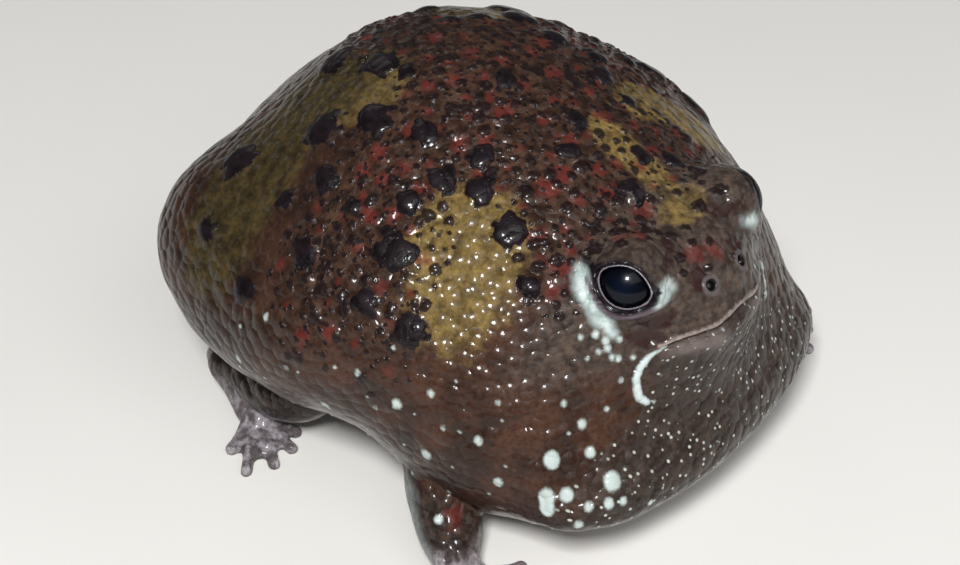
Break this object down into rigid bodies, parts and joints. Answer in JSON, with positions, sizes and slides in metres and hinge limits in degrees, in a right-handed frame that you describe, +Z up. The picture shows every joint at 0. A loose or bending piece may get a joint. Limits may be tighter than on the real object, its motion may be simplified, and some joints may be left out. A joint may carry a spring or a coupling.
{
  "type": "australian spadefoot toad",
  "caption": "Still life-size spadefoot toad, inflated to a round warty body, standing on short limbs with a broad blunt head.",
  "frame": {"origin": "on the floor under the middle of the toad's outline", "axes": "+Z up, the toad faces -Y and its left side is +X; Y is the longest extent and Z the shortest"},
  "size_m": [0.0538, 0.0592, 0.0387],
  "materials": {
    "back_skin": "wet warty skin, dark brown with olive yellow patches, red dots and glossy black warts",
    "head_skin": "wet skin, olive brown with pale patches before and behind the eye",
    "throat_skin": "wet grey-brown skin with many tiny pale dots",
    "limb_skin": "wet brown skin, pale underneath",
    "foot_skin": "wet mottled pale grey skin",
    "eye": "clear gloss over a wide black pupil with a thin pale ring",
    "horn": "hard dark digging tubercle"
  },
  "bodies": {
    "root": {"torso": "back_skin", "head": "head_skin", "throat": "throat_skin", "eye_left": "eye", "eye_right": "eye", "forearm_left": "limb_skin", "forearm_right": "limb_skin", "hand_left": "limb_skin", "hand_right": "limb_skin", "shank_left": "limb_skin", "shank_right": "limb_skin", "foot_left": "foot_skin", "foot_right": "foot_skin", "spade_left": "horn", "spade_right": "horn"}
  },
  "joints": []
}
